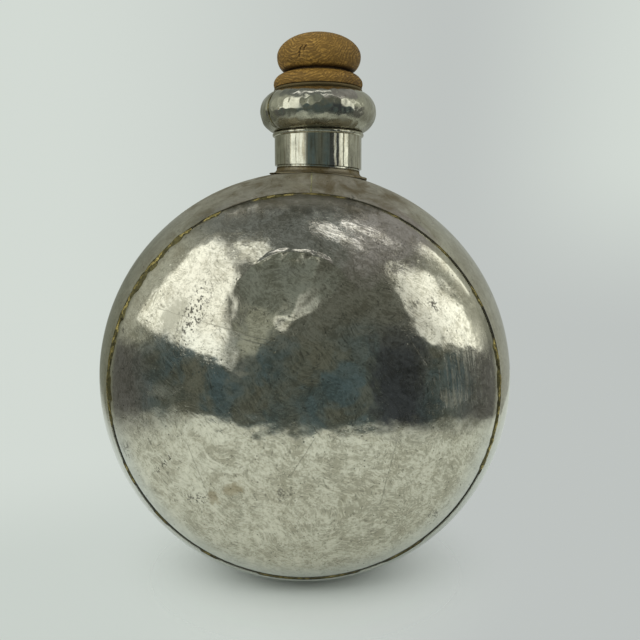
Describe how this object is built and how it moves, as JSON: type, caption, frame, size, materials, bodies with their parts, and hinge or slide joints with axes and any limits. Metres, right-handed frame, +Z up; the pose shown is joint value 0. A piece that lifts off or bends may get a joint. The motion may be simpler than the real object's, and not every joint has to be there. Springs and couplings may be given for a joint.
{
  "type": "round metal flask",
  "caption": "Large round water flask of brazed sheet metal with two domed faces, a bulbed neck and a turned wooden stopper that lifts out.",
  "frame": {"origin": "centre of the small flat that the flask stands on, below the middle of the body", "axes": "+Z up through the body, -Y out of the front dome, +X to the right seen from the front"},
  "size_m": [0.26, 0.186, 0.3414],
  "materials": {
    "body_metal": "worn tinned sheet, tarnished",
    "neck_metal": "hammered and polished sheet",
    "braze": "dull braze",
    "wood": "turned hardwood, worn"
  },
  "bodies": {
    "flask": {"rim_band": "body_metal", "front_dome": "body_metal", "rear_dome": "body_metal", "neck_foot": "body_metal", "neck_tube": "neck_metal", "neck_sleeve": "neck_metal", "mouth_bulb": "neck_metal", "mouth_rim": "neck_metal", "front_seam_braze": "braze", "rear_seam_braze": "braze", "band_joint_braze_front": "braze", "band_joint_braze_rear": "braze", "bulb_joint_braze": "braze"},
    "stopper": {"stopper": "wood"}
  },
  "joints": [
    {"name": "stopper_lift", "type": "slide", "parent": "flask", "child": "stopper", "axis": [0, 0, 1], "range_m": [0, 0.05]}
  ]
}
